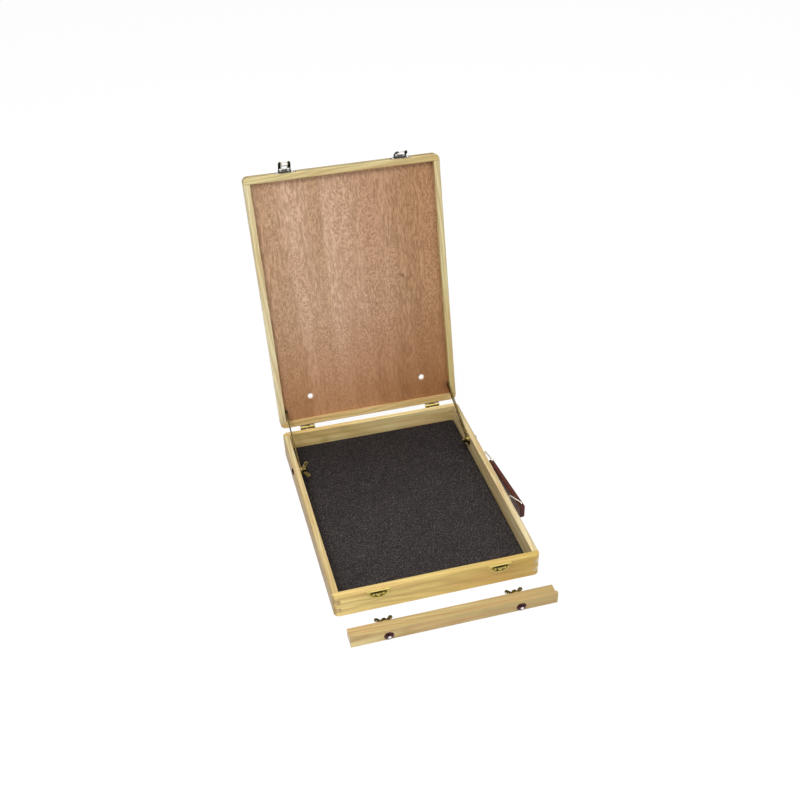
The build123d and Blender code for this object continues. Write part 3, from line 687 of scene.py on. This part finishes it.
def handle_ring(which, mount_joint):
    """Bent wire ring: a round wire swept along a rectangle with quarter-circle corners.

    The rectangle's two uprights are the joint's axis and its mirror image in the ring's middle.
    """
    node = f"handle_ring_{which}"
    low, high = (np.array(corner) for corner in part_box(node))
    mount = np.array(JOINTS[mount_joint]["pos_m"])
    middle = (low + high) / 2
    across = middle - mount
    across[2] = 0
    half_l = np.linalg.norm(across)
    across /= half_l
    half_h = (high[2] - low[2]) / 2 - WIRE_R
    bend = np.linspace(0, math.pi / 2, BEND_STEPS)
    turn = np.concatenate([bend + k * math.pi / 2 for k in range(4)])
    quarter = np.repeat(np.arange(4), BEND_STEPS)
    centre_a = np.array([1, -1, -1, 1])[quarter] * (half_l - BEND_R)
    centre_z = np.array([1, 1, -1, -1])[quarter] * (half_h - BEND_R)
    outward = np.cos(turn)[:, None] * across + np.sin(turn)[:, None] * UP
    line = middle + centre_a[:, None] * across + centre_z[:, None] * UP + BEND_R * outward
    normal = np.cross(across, UP)
    around = np.linspace(0, 2 * math.pi, WIRE_SIDES, endpoint=False)
    points = line[:, None] + WIRE_R * (np.cos(around)[None, :, None] * outward[:, None]
                                       + np.sin(around)[None, :, None] * normal)
    quads = grid_quads(len(turn), len(around), True, True)
    piece = make_piece(f"ring_{which}", points.reshape(-1, 3), [quads], NICKEL, node)
    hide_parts(node)


# Struck relief of the catch plates, shared by the keepers and the latch plates

PLATE_HALF = 17.0 * MM
PLATE_T = 0.8 * MM
ARC_R = 17.32 * MM
ARC_RISE = 1.32 * MM
RELIEF_EDGE = 0.9 * MM
RELIEF_BASE = 0.12 * MM
RELIEF_HEIGHT = 0.42 * MM
RELIEF_START = 0.3 * MM
RELIEF_GRID = (81, 33)
SKIN_IN = 0.2 * MM

# Leaves and pearls in a full turn, of which the half moon holds a part.
LEAVES = 9
PEARLS = 36

# Middle radius and half width of each struck band, in mm from the arc's centre.
BEAD_BAND = (15.2, 0.55)
PEARL_BAND = (13.6, 0.45)
LEAF_BAND = (11.2, 1.9)

KEEPER_EDGE_Z = RIM_Z - 1.6 * MM
LATCH_EDGE_Z = RIM_Z + 1.05 * MM


def band(radius, middle, half_width):
    """A bell of height one around a radius: e to the minus square of the offset in half widths."""
    return np.exp(-(((radius - middle) / half_width) ** 2))


def plate_relief():
    """Outline grid and height of a struck half moon whose flat edge lies on z = 0.

    Each row runs from the flat edge down to the arc. The height is a bead inside the arc, a fan
    of leaves, which are cosines of a multiple of the angle, and a ring of pearls between.
    """
    u, v = np.meshgrid(np.linspace(-1, 1, RELIEF_GRID[0]), np.linspace(0, 1, RELIEF_GRID[1]),
                       indexing="ij")
    x = (PLATE_HALF - RELIEF_EDGE) * u
    arc = ARC_R - RELIEF_EDGE
    depth = np.sqrt(arc**2 - x**2) - ARC_RISE
    z = -(RELIEF_START + v * (depth - RELIEF_START))
    radius = np.hypot(x, z - ARC_RISE) / MM
    angle = np.arctan2(x, ARC_RISE - z)
    bead = band(radius, *BEAD_BAND)
    leaves = (0.5 + 0.5 * np.cos(LEAVES * angle)) * band(radius, *LEAF_BAND)
    pearls = np.clip(np.cos(PEARLS * angle), 0, 1) * band(radius, *PEARL_BAND)
    relief = np.clip(0.2 + bead + 0.8 * leaves + 0.7 * pearls, 0, 1.2)
    return x, z, relief


def struck_plates(name, edge_z, body, material):
    """A thin struck skin on each half-moon plate; the lid's are the other way up and turn with it."""
    x, z, relief = plate_relief()
    fade = np.clip(relief, 0, 1)
    fade[[0, -1]] = 0
    fade[:, [0, -1]] = 0
    flip = -1 if body == "lid" else 1
    place_z = edge_z + flip * z
    face = np.full_like(x, FRONT_Y - PLATE_T)
    for side, pivot in CATCH_PIVOTS.items():
        place_x = pivot[0] + flip * x
        front = np.stack([place_x, face - RELIEF_BASE - RELIEF_HEIGHT * fade, place_z], -1)
        back = np.stack([place_x, face + SKIN_IN, place_z], -1)
        points, faces = grid_shell(front, back)
        if body == "lid":
            points = with_the_lid(points)
        make_piece(f"{name}_{side}", points, faces, material, body,
                   np.concatenate([relief.ravel(), np.zeros(relief.size)]))


# Dark blocks that fill the latch housings as painted shade

SHADE_BLOCK_HALF = np.array([3.5, 0.9, 1.5]) * MM
SHADE_BLOCK_FORWARD = 0.1 * MM


def latch_shade_blocks(material):
    """A flat block in each housing, its two end faces the grids of a shell."""
    x, y = np.meshgrid([-1.0, 1.0], [-1.0, 1.0], indexing="ij")
    for side, pivot in CATCH_PIVOTS.items():
        centre = SHUT @ (Vector(pivot) - HINGE) + HINGE - Vector((0, SHADE_BLOCK_FORWARD, 0))
        top, bottom = (np.array(centre) + SHADE_BLOCK_HALF * np.stack([x, y, np.full_like(x, z)], -1)
                       for z in (1.0, -1.0))
        points, faces = grid_shell(top, bottom)
        make_piece(f"latch_shade_block_{side}", with_the_lid(points), faces, material, "lid")


# Screws and nails

HEAD_SIDES = 16
HEAD_FOOT = 0.3 * MM

# A head's rings from its foot to its middle, as shares of the radius, and its dips in heights.
HEAD_SHARES = np.array([1.0, 1.0, 0.8, 0.52, 0.30])
HEAD_CROWN = 1.15
ARM_DIP = 0.55
MIDDLE_DIP = 0.6
DIP_FLOOR = 0.45

# Radius and height of each kind of head.
HINGE_SCREW = (2.4 * MM, 1.0 * MM)
CATCH_NAIL = (1.5 * MM, 0.9 * MM)
SADDLE_SCREW = (2.0 * MM, 0.9 * MM)

SCREW_IN_LEAF = 7.5 * MM
SCREW_DROP = 11.0 * MM
LEAF_T = 1.2 * MM
HINGE_WIDTH = 25 * MM
NAIL_OFF = 12 * MM
NAIL_IN = 4 * MM
SADDLE_T = 1.0 * MM
SADDLE_SCREW_Z = (7 * MM, 25 * MM)


def screw_heads(name, places, out, radius, height, material, body, slot):
    """Domed heads with a small star-shaped dip in the middle, all facing one way.

    Each ring of a head but its foot lies on a dome: the height times the crown less the square
    of the ring's share of the radius. The ring next to the middle one dips at every fourth
    point, and the middle one dips all round.
    """
    out = np.array(out, float)
    side = np.cross(out, [1.0, 0, 0] if abs(out[0]) < 0.5 else UP)
    side /= np.linalg.norm(side)
    other = np.cross(out, side)
    levels = height * (HEAD_CROWN - HEAD_SHARES**2)
    levels[0] = -HEAD_FOOT
    turn = np.linspace(0, 2 * math.pi, HEAD_SIDES, endpoint=False)
    z = np.repeat(levels[:, None], HEAD_SIDES, 1)
    z[-2, ::4] -= ARM_DIP * height
    z[-1] -= MIDDLE_DIP * height
    flat = HEAD_SHARES[:, None] * radius
    head = (flat[..., None] * (np.cos(turn)[None, :, None] * side + np.sin(turn)[None, :, None] * other)
            + z[..., None] * out).reshape(-1, 3)
    head = np.concatenate([head, [-HEAD_FOOT * out], [DIP_FLOOR * height * out]])
    quads = grid_quads(len(HEAD_SHARES), HEAD_SIDES, closed_columns=True)
    first = np.arange(HEAD_SIDES)
    after = (first + 1) % HEAD_SIDES
    last = (len(HEAD_SHARES) - 1) * HEAD_SIDES
    foot, top = len(head) - 2, len(head) - 1
    caps = np.concatenate([np.stack([after, first, np.full_like(first, foot)], -1),
                           np.stack([last + first, last + after, np.full_like(first, top)], -1)])
    count = len(head)
    starts = np.arange(len(places))
    points = (np.array(places)[:, None] + head).reshape(-1, 3)
    make_piece(name, points, [(quads + starts[:, None, None] * count).reshape(-1, 4),
                              (caps + starts[:, None, None] * count).reshape(-1, 3)],
               material, body)


def hinge_screws():
    """Two screws in each hinge leaf, mirrored from the tray's leaves to the shut lid's."""
    low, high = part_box("hinge_leaves_tray")
    centres = (low[0] + HINGE_WIDTH / 2, high[0] - HINGE_WIDTH / 2)
    feet = [(x + dx, BACK_Y + LEAF_T, RIM_Z - SCREW_DROP) for x in centres
            for dx in (-SCREW_IN_LEAF, SCREW_IN_LEAF)]
    screw_heads("hinge_screws_tray", feet, (0, 1, 0), *HINGE_SCREW, BRASS, "tray", "brass")
    shut = [(x, y, 2 * RIM_Z - z) for x, y, z in feet]
    screw_heads("hinge_screws_lid", with_the_lid(shut), OPENED @ Vector((0, 1, 0)), *HINGE_SCREW,
                BRASS, "lid", "brass")


def catch_nails():
    """Two nails through each keeper and each latch plate."""
    face = FRONT_Y - PLATE_T - RELIEF_BASE
    x_places = [pivot[0] + dx for pivot in CATCH_PIVOTS.values() for dx in (-NAIL_OFF, NAIL_OFF)]
    keeper = [(x, face, KEEPER_EDGE_Z - NAIL_IN) for x in x_places]
    latch = [(x, face, LATCH_EDGE_Z + NAIL_IN) for x in x_places]
    screw_heads("keeper_nails", keeper, (0, -1, 0), *CATCH_NAIL, BRASS, "tray", "brass")
    screw_heads("latch_nails", with_the_lid(latch), OPENED @ Vector((0, -1, 0)), *CATCH_NAIL,
                NICKEL, "lid", "nickel")


def saddle_screws():
    """Two screws through each saddle of the handle."""
    mounts = [JOINTS[name]["pos_m"][1] for name in ("handle_swing", "handle_front_ring_swing")]
    places = [(SIDE_X + SADDLE_T, y, z) for y in mounts for z in SADDLE_SCREW_Z]
    screw_heads("saddle_screws", places, (1, 0, 0), *SADDLE_SCREW, NICKEL, "tray", "nickel")


# Stage

LIGHT_AIM = Vector((0, 0, 0.15))
FLOOR_HALF = 6.0
FLOOR_WHITE = 0.9
GLOW_NEAR = 0.6
GLOW_FAR = 1.6


def make_floor():
    """Pale floor, almost white to the camera and darker in reflections, that keeps its shadow."""
    mesh = bpy.data.meshes.new("floor")
    corners = [(FLOOR_HALF * x, FLOOR_HALF * y, 0) for x, y in ((-1, -1), (1, -1), (1, 1), (-1, 1))]
    mesh.from_pydata(corners, [], [(0, 1, 2, 3)])
    floor = bpy.data.objects.new("floor", mesh)
    bpy.context.scene.collection.objects.link(floor)
    s = Shader("pale floor")
    s.finish(base_color=linear(250, 250, 250), roughness=0.9, specular_ior_level=0.1)
    rays = s.add("ShaderNodeLightPath")
    glow = s.add("ShaderNodeEmission")
    glow.inputs["Strength"].default_value = 1.0
    x, y, _ = s.split(s.coords())
    far = s.share(s.distance(x, y, 0.0, 0.0), GLOW_NEAR, GLOW_FAR)
    far = s.math("MULTIPLY", far, rays.outputs["Is Glossy Ray"])
    s.put(glow.inputs["Color"], s.mix(far, grey(1.03), grey(0.12)))
    seen = s.math("MAXIMUM", rays.outputs["Is Camera Ray"], rays.outputs["Is Glossy Ray"])
    mixer = s.add("ShaderNodeMixShader")
    s.put(mixer.inputs[0], s.math("MULTIPLY", seen, FLOOR_WHITE))
    s.put(mixer.inputs[1], s.surface.outputs[0])
    s.put(mixer.inputs[2], glow.outputs[0])
    s.put(s.tree.nodes["Material Output"].inputs["Surface"], mixer.outputs[0])
    mesh.materials.append(s.material)


def make_world():
    """White to the camera; a soft sky for light; dim walls and a bright ceiling in reflections."""
    world = bpy.data.worlds.new("studio")
    bpy.context.scene.world = world
    world.use_nodes = True
    s = NodeTree(world.node_tree)
    rays = s.add("ShaderNodeLightPath")
    height = s.split(s.add("ShaderNodeTexCoord").outputs["Generated"])[2]
    sky = s.ramp(height, [(0.0, grey(0.34)), (1.0, grey(0.54))])
    room = s.ramp(height, [(0.0, grey(0.07)), (0.30, grey(0.10)), (0.46, grey(0.80)), (1.0, grey(1.0))])
    colour = s.mix(rays.outputs["Is Glossy Ray"], sky, room)
    colour = s.mix(rays.outputs["Is Camera Ray"], colour, grey(1.0))
    s.put(s.tree.nodes["Background"].inputs["Color"], colour)


def area_light(name, place, size, power):
    """A square lamp, aimed above the middle of the tray."""
    data = bpy.data.lights.new(name, "AREA")
    data.shape = "SQUARE"
    data.size = size
    data.energy = power
    lamp = bpy.data.objects.new(name, data)
    bpy.context.scene.collection.objects.link(lamp)
    lamp.location = place
    lamp.rotation_euler = (LIGHT_AIM - Vector(place)).to_track_quat("-Z", "Y").to_euler()


def make_lights():
    """A key from the front left, a weak fill from the right and a soft light from above."""
    area_light("key", (-1.1, -1.0, 2.3), 0.8, 38)
    area_light("fill", (1.6, -1.6, 1.3), 1.6, 14)
    area_light("top", (0.2, 0.4, 2.6), 1.8, 18)


bpy.context.scene.view_settings.view_transform = "Standard"
make_camera()
make_world()
make_floor()
make_lights()
dress_wood()
dress_metal()
foam_sheet()
handle_ring("rear", "handle_swing")
handle_ring("front", "handle_front_ring_swing")
struck_brass = struck_metal("struck brass", linear(240, 220, 120), linear(60, 47, 14), 0.34)
struck_nickel = struck_metal("struck plating", linear(236, 234, 224), linear(70, 66, 56), 0.24)
struck_plates("keeper_face", KEEPER_EDGE_Z, "tray", struck_brass)
struck_plates("latch_face", LATCH_EDGE_Z, "lid", struck_nickel)
# Dark blocks stand for the shade inside the latch housings.
latch_shade_blocks(metal("dark steel of the shade blocks", linear(48, 44, 34), linear(14, 12, 8), 0.45))
hinge_screws()
catch_nails()
saddle_screws()
